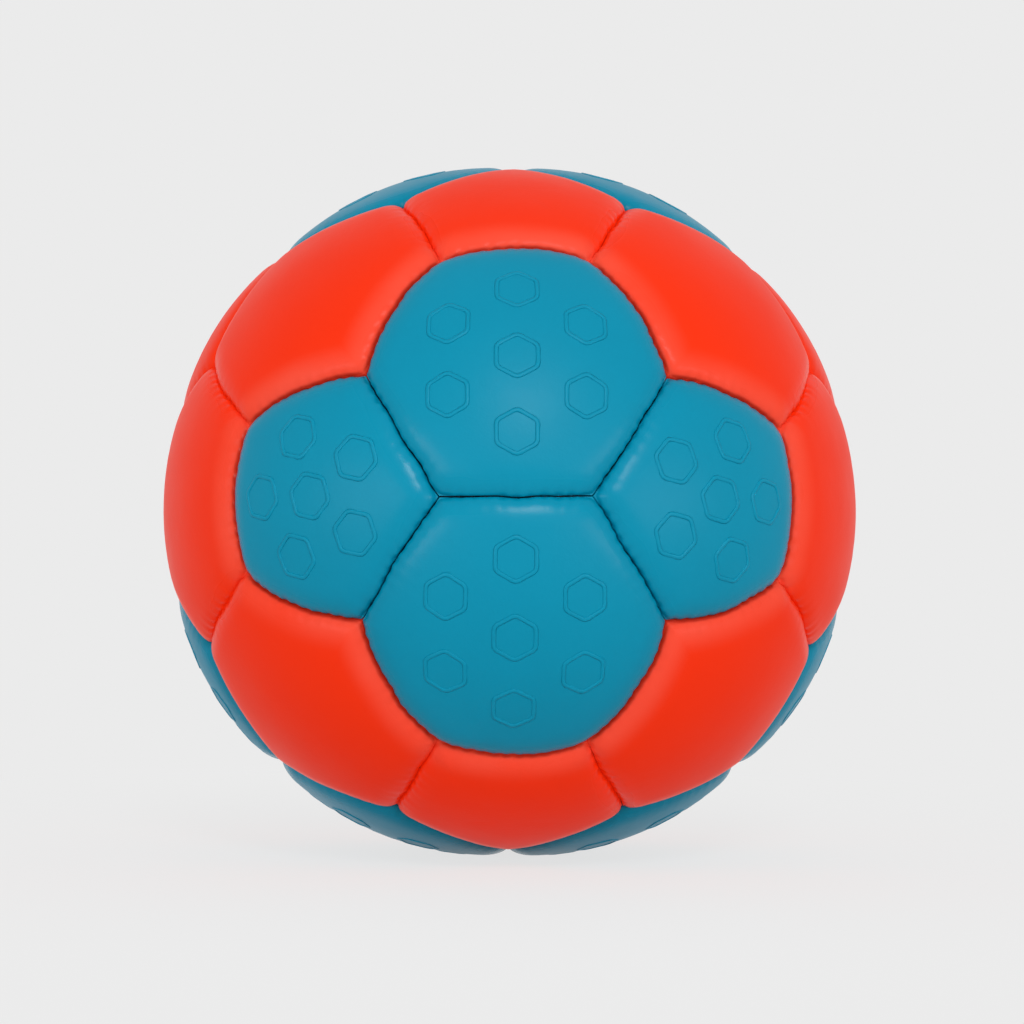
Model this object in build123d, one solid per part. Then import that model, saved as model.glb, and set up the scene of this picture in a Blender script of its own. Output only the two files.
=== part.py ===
from build123d import *
from math import acos, asin, atan, atan2, cos, degrees, floor, pi, sin, sqrt, tan
import os

# A handball of thirty-two padded panels, twelve pentagons and twenty hexagons, sewn round a rubber bladder.
# Millimetres. The origin is the centre of the ball, Z is up, and the front of the ball faces minus Y.

# Ball and panels
ball_circumference = 590.0  # a tape round the crowns of the panels
panel_rise = 1.0  # how far a panel's centre stands above the middle of its edges
shoulder_radius = 3.6  # the cover rolls over this radius into a seam
shoulder_bevels = 2  # flats that stand for the rolled shoulder
seam_gap = 0.2  # between the two covers that meet in a seam
seam_bow = 2.0  # how far a seam between a teal and a red panel swells towards the red, at its middle

# Layers of a panel, from the outside in
cover_thickness = 1.6
foam_thickness = 3.0  # at the middle of a panel; thinner at its edges
backing_thickness = 2.4  # woven plies laminated together
glue_line = 0.05

# Stitching
thread_width = 0.9  # flat waxed thread, along the inside of a seam
drawn_thread_radius = 0.35  # where the thread is drawn through the covers
thread_clearance = 0.1
stitch_pitch = 3.4
stitch_margin = 1.25  # from the inner edge of a cover's lip to the row of stitches
stitch_end_margin = 4.0  # from a corner of a panel to the last stitch

# Bladder
bladder_wall = 0.9
bladder_clearance = 0.1

# Valve
patch_radius = 19.0
patch_thickness = 0.8
flange_radius = 12.0
flange_thickness = 1.5
neck_radius = 4.6
neck_recess = 0.3  # the valve's rim lies this far below the crown of its panel
neck_clearance = 0.15
rim_rounding = 0.4
core_radius = 2.4
core_length = 12.0  # below its head
core_head_radius = 3.3
core_head_height = 1.2
core_clearance = 0.05
core_sink = 0.1  # the head's top lies this far below the valve's rim
core_floor = 1.6  # rubber left under the core's pocket
needle_radius = 1.0
needle_clearance = 0.05
needle_depth = 9.0  # from the top of the core to the end of its guide bore
funnel_radius = 1.7
funnel_depth = 0.8
slit_width = 0.25

golden = (1 + sqrt(5)) / 2
ball_radius = ball_circumference / (2 * pi)
inside_radius = ball_radius - cover_thickness - foam_thickness - backing_thickness - 2 * glue_line
foam_inner_radius = ball_radius - cover_thickness - glue_line - foam_thickness
stitch_radius = inside_radius + stitch_margin
bow_allowance = 3 * seam_bow + 2 * shoulder_radius  # keeps flat sides clear of a bowed edge
bladder_radius = inside_radius - bladder_clearance
bladder_inner_radius = bladder_radius - bladder_wall


def unit(x, y, z):
    return Vector(x, y, z).normalized()


def angle_between(a, b):
    return acos(max(-1.0, min(1.0, a.dot(b))))


# The directions of the panels' centres, named as seen from the front

side = {-1: "left", 1: "right"}
depth = {-1: "front", 1: "back"}
height = {-1: "lower", 1: "upper"}
end = {-1: "bottom", 1: "top"}

pentagons = {}
hexagons = {}
for a in (-1, 1):
    for b in (-1, 1):
        pentagons[f"{depth[b]}_{side[a]}"] = unit(a, b * golden, 0)
        pentagons[f"{end[b]}_{depth[a]}"] = unit(0, a, b * golden)
        pentagons[f"{side[a]}_{height[b]}"] = unit(a * golden, 0, b)
        hexagons[f"{depth[a]}_{height[b]}"] = unit(0, a * golden, b / golden)
        hexagons[f"{end[b]}_{side[a]}"] = unit(a / golden, 0, b * golden)
        hexagons[f"{side[a]}_{depth[b]}"] = unit(a * golden, b / golden, 0)
        for c in (-1, 1):
            hexagons[f"{depth[b]}_{height[c]}_{side[a]}"] = unit(a, b, c)

teal_pentagons = {"front_left", "front_right", "back_left", "back_right", "left_lower", "right_lower"}
teal_hexagons = {"front_upper", "front_lower", "back_upper", "back_lower"}
teal_hexagons |= {"top_left", "top_right", "bottom_left", "bottom_right"}
teal_axes = [pentagons[name] for name in teal_pentagons] + [hexagons[name] for name in teal_hexagons]
valve_panel = "back_upper"

# The angle from a panel's centre to the middle of an edge, for each of the two shapes
hexagon_step = angle_between(hexagons["front_upper"], hexagons["front_lower"])
pentagon_step = angle_between(pentagons["front_left"], hexagons["front_upper"])
edge_angle = {6: hexagon_step / 2, 5: pentagon_step - hexagon_step / 2}
half_edge = atan(sin(edge_angle[6]) * tan(pi / 6))

# A bowed seam is part of a small circle. Seen from the ball's centre it is the side of a cone
bow_angle = seam_bow / ball_radius
bow_cone = atan((1 - cos(half_edge) * cos(bow_angle)) / (cos(half_edge) * sin(bow_angle)))
cone_angle = {0: pi / 2, 1: bow_cone}


def is_teal(axis):
    return any(angle_between(axis, teal) < 0.01 for teal in teal_axes)


def neighbours(axis, sides):
    """The middle of each seam round a panel, the shape beyond it, and 1 or -1 if it bows out or in."""
    found = []
    for other_sides, shape in ((6, hexagons), (5, pentagons)):
        for other in shape.values():
            meeting = edge_angle[sides] + edge_angle[other_sides]
            if abs(angle_between(axis, other) - meeting) < 0.01:
                middle = axis * sin(edge_angle[other_sides]) + other * sin(edge_angle[sides])
                found.append((middle.normalized(), other_sides, is_teal(axis) - is_teal(other)))
    return found


def panel_plane(axis, middle):
    """A panel's own frame: Z through its centre and X towards the middle of one edge."""
    return Plane(origin=(0, 0, 0), x_dir=middle - axis * middle.dot(axis), z_dir=axis)


def panel_bows(axis, sides, start):
    """How the edges of a panel bow, in order round it from the edge whose middle is the start."""
    plane = panel_plane(axis, start)
    bows = [0] * sides
    for middle, other_sides, bow in neighbours(axis, sides):
        turn = atan2(middle.dot(plane.y_dir), middle.dot(plane.x_dir))
        bows[round(turn * sides / (2 * pi)) % sides] = bow
    return tuple(bows)


def panel_place(axis, sides):
    """Where a panel stands and how its edges bow, begun at the edge that makes like panels come out alike."""
    starts = [middle for middle, other_sides, bow in neighbours(axis, sides)]
    start = max(starts, key=lambda middle: panel_bows(axis, sides, middle))
    return panel_plane(axis, start).location, panel_bows(axis, sides, start)


def seam_place(middle, axis, bow):
    """Local Z on the axis of the seam's cone, which leans from the seam's middle towards the panel."""
    plane = Plane(origin=(0, 0, 0), x_dir=axis - middle * axis.dot(middle), z_dir=middle)
    return plane.location * Rot(0, degrees(cone_angle[bow] - bow * bow_angle), 0)


def edge_place(sides, number, bow):
    """The same, for an edge of a panel in the panel's own frame, whether it bows out or in."""
    lean = edge_angle[sides] + bow * (bow_angle - bow_cone) if bow else edge_angle[sides] - pi / 2
    return Rot(0, 0, 360 * number / sides) * Rot(0, degrees(lean), 0)


def ball(radius):
    """A sphere whose poles lie well away from the panel on Z."""
    return Rot(90, 0, 0) * Sphere(radius)


def taper(sides, bows, distance, rise_angle):
    """A block with a flat side on every straight edge, tilted up by an angle, a distance from the centre."""
    rings = []
    for level in (0.6 * ball_radius, 1.1 * ball_radius):
        ring = []
        for n in range(sides):
            near, far = [
                (distance + (bow_allowance if bow else 0) - level * sin(rise_angle)) / cos(rise_angle)
                for bow in (bows[n - 1], bows[n])
            ]
            step = 2 * pi / sides
            turn = (n - 1) * step
            along = (far - near * cos(step)) / sin(step)
            ring.append((near * cos(turn) - along * sin(turn), near * sin(turn) + along * cos(turn), level))
        rings.append(ring)
    low, high = rings
    outlines = [low, high]
    for n in range(sides):
        outlines.append([low[n - 1], low[n], high[n], high[n - 1]])
    return Solid(Shell([Face(Wire.make_polygon(outline)) for outline in outlines]))


def flats(inset, bevels):
    """The lean and distance of an edge's wall and of the bevels above it, each taken in by the inset."""
    centre_in = seam_gap / 2 + shoulder_radius
    centre_out = ball_radius - panel_rise - shoulder_radius
    found = [(0, -seam_gap / 2 - inset)]
    for step in range(1, bevels + 1):
        lean = step * pi / 2 / (bevels + 1)
        found.append((lean, centre_out * sin(lean) - centre_in * cos(lean) + shoulder_radius - inset))
    return found


def bowed_side(bow, inset, bevels):
    """A round block about the cone of a bowed seam, whose outside is the panel's edge and bevels."""
    sides_found = flats(inset, bevels)
    outline = [(0.6 * ball_radius, -sides_found[0][1])]
    for (lean, distance), (next_lean, next_distance) in zip(sides_found, sides_found[1:]):
        turn = sin(next_lean - lean)
        out = (next_distance * cos(lean) - distance * cos(next_lean)) / turn
        inward = (next_distance * sin(lean) - distance * sin(next_lean)) / turn
        outline.append((out, inward))
    lean, distance = sides_found[-1]
    top = 1.1 * ball_radius
    outline.append((top, (top * sin(lean) - distance) / cos(lean)))
    corners = []
    for out, inward in outline:
        from_axis = out * sin(bow_cone) - bow * inward * cos(bow_cone)
        along_axis = out * cos(bow_cone) + bow * inward * sin(bow_cone)
        corners.append((-bow * from_axis, along_axis))
    corners += [(0, 1.3 * ball_radius), (0, corners[0][1])]
    return revolve(Plane.XZ * make_face(Polyline(*corners, close=True)), Axis.Z)


def trimmed(shell, sides, bows, inset, bevels):
    """The part of a round shell that lies inside all the edges of a panel, straight and bowed."""
    block = shell
    for lean, distance in flats(inset, bevels):
        block = block & taper(sides, bows, distance, lean - edge_angle[sides])
    for n, bow in enumerate(bows):
        if bow > 0:
            block = block & (edge_place(sides, n, bow) * bowed_side(bow, inset, bevels))
        if bow < 0:
            block = block - edge_place(sides, n, bow) * bowed_side(bow, inset, bevels)
    return block


def dome_radius(sides):
    """The radius of a face that stands panel_rise above the middles of the panel's edges."""
    edge_level = ball_radius - panel_rise
    reach = edge_level * sin(edge_angle[sides])
    drop = ball_radius - edge_level * cos(edge_angle[sides])
    return (reach ** 2 + drop ** 2) / (2 * drop)


def padded_block(sides, bows, inset, floor_radius):
    """A panel's outer form, or the same form taken in evenly on its face, shoulders and edges."""
    dome = dome_radius(sides)
    shell = Pos(0, 0, ball_radius - dome) * ball(dome - inset) - ball(floor_radius)
    return trimmed(shell, sides, bows, inset, shoulder_bevels)


def stitch_turns(bowed):
    """Where the stitches of a seam lie, as turns about the axis of its cone from the seam's middle."""
    circle = stitch_radius * sin(cone_angle[bowed])
    reach = circle * asin(sin(half_edge) / sin(cone_angle[bowed])) - stitch_end_margin
    each_way = floor(reach / stitch_pitch)
    return [n * stitch_pitch / circle for n in range(-each_way, each_way + 1)]


def on_seam(turn, lean):
    """A point in the row of stitches, for a seam on the cone about Z with this lean, met towards X."""
    return Rot(0, 0, degrees(turn)) * Rot(0, degrees(lean), 0) * Pos(0, 0, stitch_radius)


def across(radius, length):
    """A round bar along X, centred."""
    return Rot(0, 90, 0) * Cylinder(radius, length)


def panel_cover(sides, bows):
    """The skin of a panel, turned down into lips with a row of stitch holes along every edge."""
    outer = padded_block(sides, bows, 0, inside_radius)
    hollow = padded_block(sides, bows, cover_thickness, 0.8 * inside_radius)
    cover = outer - hollow
    hole = across(drawn_thread_radius + thread_clearance, 4 * cover_thickness)
    tools = []
    for n, bow in enumerate(bows):
        lean = cone_angle[abs(bow)] * (-1 if bow < 0 else 1)
        for turn in stitch_turns(abs(bow)):
            tools.append(edge_place(sides, n, bow) * on_seam(turn, lean) * hole)
    return cover - tools


def panel_foam(sides, bows):
    """The pad that fills the cover down to the backing."""
    return padded_block(sides, bows, cover_thickness + glue_line, foam_inner_radius)


def panel_backing(sides, bows):
    """The woven layer under the foam, cut back from the lips to leave room for the thread."""
    inset = cover_thickness + 2 * thread_clearance + thread_width
    shell = ball(foam_inner_radius - glue_line) - ball(inside_radius)
    return trimmed(shell, sides, bows, inset, 0)


def seam_thread(bowed):
    """The saddle stitch of one seam: a thread along each lip, joined by the threads drawn through both."""
    offset = seam_gap / 2 + cover_thickness + thread_clearance + thread_width / 2
    lean = cone_angle[bowed]
    turns = stitch_turns(bowed)
    reach = degrees(turns[-1] + thread_width / (stitch_radius * sin(lean)))
    drawn = across(drawn_thread_radius, 2 * offset)
    pieces = [on_seam(turn, -lean) * drawn for turn in turns]
    for way in (-offset, offset):
        from_axis = stitch_radius * sin(lean) + way * cos(lean)
        along_axis = stitch_radius * cos(lean) - way * sin(lean)
        square = Rot(0, 0, degrees(lean)) * Rectangle(thread_width, thread_width)
        section = Plane.XZ * (Pos(-from_axis, along_axis) * square)
        pieces.append(Rot(0, 0, -reach) * revolve(section, Axis.Z, revolution_arc=2 * reach))
    return pieces[0].fuse(*pieces[1:])


# The valve, modelled on Z under the crown of its panel

neck_top = ball_radius - neck_recess
head_top = neck_top - core_sink
head_seat = head_top - core_head_height
core_end = head_seat - core_length
patch_outer = bladder_inner_radius - glue_line
flange_outer = patch_outer - patch_thickness - glue_line
opening_radius = neck_radius + neck_clearance


def post(radius, low, high):
    """A round bar on Z between two heights."""
    return Pos(0, 0, low) * Cylinder(radius, high - low, align=(Align.CENTER, Align.CENTER, Align.MIN))


def round_shell(outer_radius, thickness, disc_radius):
    """A round piece of a spherical shell, about Z."""
    disc = post(disc_radius, 0, 1.2 * ball_radius)
    return (ball(outer_radius) & disc) - ball(outer_radius - thickness)


valve_opening = post(opening_radius, 0.5 * ball_radius, 1.1 * ball_radius)

valve_patch = round_shell(patch_outer, patch_thickness, patch_radius) - valve_opening

barrel_end = core_end - core_clearance - core_floor
barrel = post(neck_radius, barrel_end, neck_top)
barrel = fillet(barrel.edges().filter_by(GeomType.CIRCLE), rim_rounding)
head_pocket = post(core_head_radius + core_clearance, head_seat - core_clearance, neck_top + 1)
core_pocket = post(core_radius + core_clearance, core_end - core_clearance, neck_top)
needle_outlet = post(needle_radius + needle_clearance, barrel_end - 1, core_end)
valve_housing = round_shell(flange_outer, flange_thickness, flange_radius) + barrel
valve_housing = valve_housing - head_pocket - core_pocket - needle_outlet

core_head = post(core_head_radius, head_seat, head_top)
core_head = fillet(core_head.edges().filter_by(GeomType.CIRCLE).sort_by(Axis.Z)[-1], rim_rounding)
core_shank = post(core_radius, core_end, head_top - core_head_height / 2)
core_shank = fillet(core_shank.edges().filter_by(GeomType.CIRCLE).sort_by(Axis.Z)[0], rim_rounding)
guide_end = head_top - needle_depth
needle_guide = post(needle_radius + needle_clearance, guide_end, head_top + 1)
funnel = Pos(0, 0, head_top - funnel_depth) * Cone(
    needle_radius + needle_clearance,
    funnel_radius,
    funnel_depth,
    align=(Align.CENTER, Align.CENTER, Align.MIN),
)
slit = Pos(0, 0, core_end - 1) * Box(
    2 * needle_radius,
    slit_width,
    guide_end - core_end + 2,
    align=(Align.CENTER, Align.CENTER, Align.MIN),
)
valve_core = core_head + core_shank - needle_guide - funnel - slit

bladder = ball(bladder_radius) - ball(bladder_inner_radius)

# Panels whose edges bow alike are made once and copied to their places

made = {}
thread = {bowed: seam_thread(bowed) for bowed in (0, 1)}
sewing_order = Vector(3, 2, 1)  # of two like panels, the one that lies less far this way carries their thread

nodes = {}
pads = {5: [], 6: []}
plies = {5: [], 6: []}
threads = {5: [], 6: []}
for word, sides, shape in (("pentagon", 5, pentagons), ("hexagon", 6, hexagons)):
    for name, axis in shape.items():
        place, bows = panel_place(axis, sides)
        if (sides, bows) not in made:
            makers = (panel_cover, panel_foam, panel_backing)
            made[sides, bows] = [make(sides, bows) for make in makers]
        layers = made[sides, bows]
        if sides == 6 and name == valve_panel:
            layers = [layer - valve_opening for layer in layers]
        nodes[f"{word}_{name}"] = [place * layers[0]]
        pads[sides].append(place * layers[1])
        plies[sides].append(place * layers[2])
        for middle, other_sides, bow in neighbours(axis, sides):
            halfway = middle * cos(edge_angle[sides])  # between the centres of two panels of one shape
            own_half = halfway.dot(sewing_order) > axis.dot(sewing_order)
            straight_here = bow == 0 and (other_sides > sides or (other_sides == sides and own_half))
            if bow > 0 or straight_here:
                row = seam_place(middle, axis, bow) * thread[bow]
                threads[min(sides, other_sides)].append(row)

nodes["pentagon_foam_pads"] = pads[5]
nodes["hexagon_foam_pads"] = pads[6]
nodes["pentagon_backings"] = plies[5]
nodes["hexagon_backings"] = plies[6]
nodes["pentagon_seam_stitching"] = threads[5]
nodes["hexagon_seam_stitching"] = threads[6]

valve_place = panel_place(hexagons[valve_panel], 6)[0]
nodes["bladder"] = [valve_place * (bladder - valve_opening)]
nodes["valve_patch"] = [valve_place * valve_patch]
nodes["valve_housing"] = [valve_place * valve_housing]
nodes["valve_core"] = [valve_place * valve_core]

os.makedirs("parts", exist_ok=True)
for name, shapes in nodes.items():
    solids = [solid for shape in shapes for solid in shape.solids()]
    whole = solids[0] if len(solids) == 1 else Compound(children=solids)
    export_step(whole, f"parts/{name}.step")
    print(name, len(solids), round(sum(solid.volume for solid in solids), 1))
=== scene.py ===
# %% [markdown]
# # A sewn handball
# The ball is thirty-two padded panels, twelve five-sided and twenty six-sided, sewn edge to edge round a
# rubber bladder. The CAD model fixes every panel's place and size. This lesson gives the panels their
# soft form, their finish and the light they are seen in.

# %% Load the CAD model
import math
import bpy
import numpy as np
from mathutils import Matrix, Vector


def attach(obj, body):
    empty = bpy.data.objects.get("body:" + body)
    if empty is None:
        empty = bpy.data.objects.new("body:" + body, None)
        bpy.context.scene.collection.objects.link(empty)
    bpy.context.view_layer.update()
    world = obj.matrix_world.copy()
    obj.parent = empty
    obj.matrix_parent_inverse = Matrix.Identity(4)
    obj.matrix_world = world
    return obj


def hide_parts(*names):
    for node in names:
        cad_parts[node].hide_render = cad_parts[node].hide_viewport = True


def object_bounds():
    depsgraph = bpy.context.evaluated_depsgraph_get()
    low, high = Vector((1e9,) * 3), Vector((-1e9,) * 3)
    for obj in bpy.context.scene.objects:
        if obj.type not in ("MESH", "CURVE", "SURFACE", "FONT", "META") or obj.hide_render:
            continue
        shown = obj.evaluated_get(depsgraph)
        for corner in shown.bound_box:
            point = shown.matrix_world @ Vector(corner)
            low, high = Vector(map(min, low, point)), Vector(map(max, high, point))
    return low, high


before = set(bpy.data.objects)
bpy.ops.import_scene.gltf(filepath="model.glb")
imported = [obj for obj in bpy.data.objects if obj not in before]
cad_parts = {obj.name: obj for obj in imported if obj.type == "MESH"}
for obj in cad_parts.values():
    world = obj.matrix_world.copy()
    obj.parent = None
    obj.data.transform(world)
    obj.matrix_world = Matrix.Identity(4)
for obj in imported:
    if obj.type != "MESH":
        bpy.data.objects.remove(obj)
scene = bpy.context.scene
cad_low, cad_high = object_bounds()
print("CAD nodes:", len(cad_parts), "CAD box:", [round(x, 4) for x in (*cad_low, *cad_high)])

# %% [markdown]
# ## The camera
# The outline of a ball says little about where it is seen from, but its seams do. Their corners fit a
# camera a little below the ball's middle and about seven radii away, with a long lens, so the camera
# stands there. The lens follows from how wide the ball is in the picture.

# %% Place the camera
BALL_RADIUS = 0.590 / (2 * math.pi)
CAMERA_RADII = 6.8
CAMERA_TURN = math.radians(-1.06)
CAMERA_LIFT = math.radians(-2.34)
CAMERA_ROLL = math.radians(0.46)
SENSOR_WIDTH = 36.0
IMAGE_PIXELS = 1024
OUTLINE_PIXELS = 347.4
BALL_LEFT_PIXELS = 2.5
BALL_UP_PIXELS = 0.6

level = math.cos(CAMERA_LIFT)
away = Vector((math.sin(CAMERA_TURN) * level, -math.cos(CAMERA_TURN) * level, math.sin(CAMERA_LIFT)))
level_right = Vector((0, 0, 1)).cross(away).normalized()
level_up = away.cross(level_right)
right = level_right * math.cos(CAMERA_ROLL) + level_up * math.sin(CAMERA_ROLL)
up = level_up * math.cos(CAMERA_ROLL) - level_right * math.sin(CAMERA_ROLL)

camera_distance = CAMERA_RADII * BALL_RADIUS
focal_pixels = OUTLINE_PIXELS * math.sqrt(CAMERA_RADII**2 - 1)
pixel = camera_distance / focal_pixels

camera = bpy.data.objects.new("camera", bpy.data.cameras.new("camera"))
scene.collection.objects.link(camera)
camera.data.sensor_width = SENSOR_WIDTH
camera.data.lens = SENSOR_WIDTH * focal_pixels / IMAGE_PIXELS
camera.matrix_world = Matrix((right, up, away)).transposed().to_4x4()
camera.location = away * camera_distance + (right * BALL_LEFT_PIXELS - up * BALL_UP_PIXELS) * pixel
scene.camera = camera
print("camera at", [round(x, 3) for x in camera.location], "lens", round(camera.data.lens, 1), "mm")

# %% [markdown]
# ## One helper for every node tree
# Materials and Geometry Nodes are both trees of nodes. One function adds a node, sets its options, and
# fills each input with a value or a link. Colours are written as the hex codes a designer would use and
# turned into the linear values that light is worked out in.

# %% Helpers for nodes and colours


def add(tree, kind, inputs=None, **settings):
    """Adds one node with its options, and fills its inputs with values or links."""
    node = tree.nodes.new(kind)
    for name, value in settings.items():
        setattr(node, name, value)
    for key, value in (inputs or {}).items():
        if isinstance(value, bpy.types.NodeSocket):
            tree.links.new(value, node.inputs[key])
        else:
            node.inputs[key].default_value = value
    return node


def colour(code):
    """Linear red, green, blue and alpha for an sRGB hex code."""
    values = [int(code[n : n + 2], 16) / 255 for n in (1, 3, 5)]
    linear = [v / 12.92 if v <= 0.04045 else ((v + 0.055) / 1.055) ** 2.4 for v in values]
    return (*linear, 1.0)


print("middle grey in linear light:", [round(v, 3) for v in colour("#808080")])

# %% [markdown]
# ## Where the panels are
# A truncated icosahedron has a simple recipe: the centres of its faces lie in directions built from 0, 1
# and the golden ratio. A panel is modelled about the Z axis and turned to its direction. Two panels of
# one colour meet in a straight seam, in a plane through the centre of the ball. Where teal meets red the
# seam bows two millimetres towards the red, so the teal groups look round. Panels that bow alike share
# one blank.

# %% Work out the panels' directions
GOLDEN = (1 + math.sqrt(5)) / 2
side = {-1: "left", 1: "right"}
depth = {-1: "front", 1: "back"}
height = {-1: "lower", 1: "upper"}
end = {-1: "bottom", 1: "top"}

panel_axes = {}
for a in (-1, 1):
    for b in (-1, 1):
        panel_axes[f"pentagon_{depth[b]}_{side[a]}"] = Vector((a, b * GOLDEN, 0)).normalized()
        panel_axes[f"pentagon_{end[b]}_{depth[a]}"] = Vector((0, a, b * GOLDEN)).normalized()
        panel_axes[f"pentagon_{side[a]}_{height[b]}"] = Vector((a * GOLDEN, 0, b)).normalized()
        panel_axes[f"hexagon_{depth[a]}_{height[b]}"] = Vector((0, a * GOLDEN, b / GOLDEN)).normalized()
        panel_axes[f"hexagon_{end[b]}_{side[a]}"] = Vector((a / GOLDEN, 0, b * GOLDEN)).normalized()
        panel_axes[f"hexagon_{side[a]}_{depth[b]}"] = Vector((a * GOLDEN, b / GOLDEN, 0)).normalized()
        for c in (-1, 1):
            panel_axes[f"hexagon_{depth[b]}_{height[c]}_{side[a]}"] = Vector((a, b, c)).normalized()

TEAL_PANELS = {
    "hexagon_front_upper", "hexagon_front_lower", "pentagon_front_left", "pentagon_front_right",
    "hexagon_back_upper", "hexagon_back_lower", "pentagon_back_left", "pentagon_back_right",
    "hexagon_top_left", "hexagon_top_right", "hexagon_bottom_left", "hexagon_bottom_right",
    "pentagon_left_lower", "pentagon_right_lower",
}
VALVE_PANEL = "hexagon_back_upper"
print("panels:", len(panel_axes), "teal:", len(TEAL_PANELS), "valve in:", VALVE_PANEL)

# %% Work out the seams
# A bowed seam keeps one angle from an axis, like a circle of latitude. A straight one keeps a right angle
MILLIMETRES = 1000  # in a metre
RADIUS = BALL_RADIUS * MILLIMETRES
SEAM_BOW = 2.0

hexagon_step = panel_axes["hexagon_front_upper"].angle(panel_axes["hexagon_front_lower"])
pentagon_step = panel_axes["pentagon_front_left"].angle(panel_axes["hexagon_front_upper"])
EDGE_ANGLE = {6: hexagon_step / 2, 5: pentagon_step - hexagon_step / 2}
half_edge = math.atan(math.sin(EDGE_ANGLE[6]) * math.tan(math.pi / 6))
bow_angle = SEAM_BOW / RADIUS
bow_height = 1 - math.cos(half_edge) * math.cos(bow_angle)
bow_cone = math.atan(bow_height / (math.cos(half_edge) * math.sin(bow_angle)))
print("edge of a panel:", round(2 * half_edge * RADIUS, 1), "mm")
print("cone of a bowed seam:", round(math.degrees(bow_cone), 1), "degrees")

# %% Turn the panels to their places
SAME_ANGLE = 0.01  # in radians


def sides_of(name):
    """How many sides a panel has."""
    return 5 if name.startswith("pentagon") else 6


def panel_frame(name):
    """The turn that carries a panel from Z to its place, and how its seams bow: out 1, in -1, straight 0."""
    axis, sides = panel_axes[name], sides_of(name)
    seams = []
    for other, direction in panel_axes.items():
        reach = EDGE_ANGLE[sides] + EDGE_ANGLE[sides_of(other)]
        if other != name and abs(axis.angle(direction) - reach) < SAME_ANGLE:
            out = (direction - axis * direction.dot(axis)).normalized()
            seams.append((out, (name in TEAL_PANELS) - (other in TEAL_PANELS)))
    choices = []
    for start, _ in seams:
        aside = axis.cross(start)
        bows = [0] * sides
        for out, bow in seams:
            turn = math.atan2(out.dot(aside), out.dot(start))
            bows[round(turn * sides / (2 * math.pi)) % sides] = bow
        choices.append((tuple(bows), tuple(start), tuple(aside)))
    bows, start, aside = max(choices)
    return np.array(Matrix((start, aside, axis)).transposed()), bows


frames = {name: panel_frame(name) for name in sorted(panel_axes)}
print("ways to bow:", len({bows for _, bows in frames.values()}))

# %% [markdown]
# ## The blank of a panel
# A blank is the sheet before it is sewn: rings of points that follow the panel's outline, close together
# near the edge where the cover will roll into the seam, and wide apart in the middle. Past the edge the
# rings carry on down the lip and back under the face, so that the sheet is a closed shell. Every point
# keeps what the sewing needs to know: how far the nearest two seams are, how far along its seam it lies,
# and how near a corner is. Writing these facts on the points lets a node tree do the shaping.

# %% Sizes of a blank in millimetres, and steps along its edge
# A ring is listed by its distance in from the edge, and a ring of the lining by its level too
DOME_RISE = 1.0
COVER_THICKNESS = 1.6
TEAL_LIP_GAP = 0.2
RED_LIP_GAP = 0.1
LIP_DEPTH = 7.1
LIP_END = RADIUS - LIP_DEPTH
LINING_RISE = 5.0
STEPS_PER_EDGE = 80
COARSE_STEPS = STEPS_PER_EDGE // 4
FINE_RINGS = [0.0, 0.06, 0.14, 0.26, 0.42, 0.62, 0.88, 1.22, 1.64, 2.2, 2.9, 3.8, 5.0, 6.4, 8.1]
COARSE_RINGS = [10.5, 13.5, 17.5, 22.0, 26.5]
LINING_RINGS = [
    (COVER_THICKNESS, LIP_END), (1.75, LIP_END + 1.1), (3.2, LIP_END + 3.2), (9.0, LIP_END + 4.2),
]
MIDDLE_CLEARANCE = 7.0
VALVE_OPENING = 4.75
RIM_ROUNDING = 0.5
RIM_DROP = 0.8
print("rings of a face:", len(FINE_RINGS) + len(COARSE_RINGS), "of its lining:", 1 + len(LINING_RINGS))

# %% The dome of a panel and the circles of its seams


def dome_level(sides, cosine):
    """The height in millimetres of a panel's plain dome above the ball's centre, in some direction."""
    edge_level = RADIUS - DOME_RISE
    reach = edge_level * math.sin(EDGE_ANGLE[sides])
    drop = RADIUS - edge_level * math.cos(EDGE_ANGLE[sides])
    dome = (reach**2 + drop**2) / (2 * drop)
    middle = (RADIUS - dome) * cosine
    return middle + np.sqrt(dome**2 - (RADIUS - dome) ** 2 + middle**2)


def seam_circles(sides, bows, inset):
    """For each seam, moved in: its axis, its angle from there, 1 if the panel is inside it, and its run."""
    circles = []
    for n, bow in enumerate(bows):
        inside = -1 if bow < 0 else 1
        angle = bow_cone if bow else math.pi / 2
        lean = EDGE_ANGLE[sides] + inside * (abs(bow) * bow_angle - angle)
        turn = 2 * math.pi * n / sides
        axis = np.array([math.sin(lean) * math.cos(turn), math.sin(lean) * math.sin(turn), math.cos(lean)])
        run = np.array([-math.sin(turn), math.cos(turn), 0])
        circles.append((axis, angle - inside * inset / RADIUS, inside, run))
    return circles


print("dome above its edge:", round(dome_level(6, 1.0) - dome_level(6, math.cos(EDGE_ANGLE[6])), 2), "mm")

# %% A ring of directions inside the seams


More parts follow.
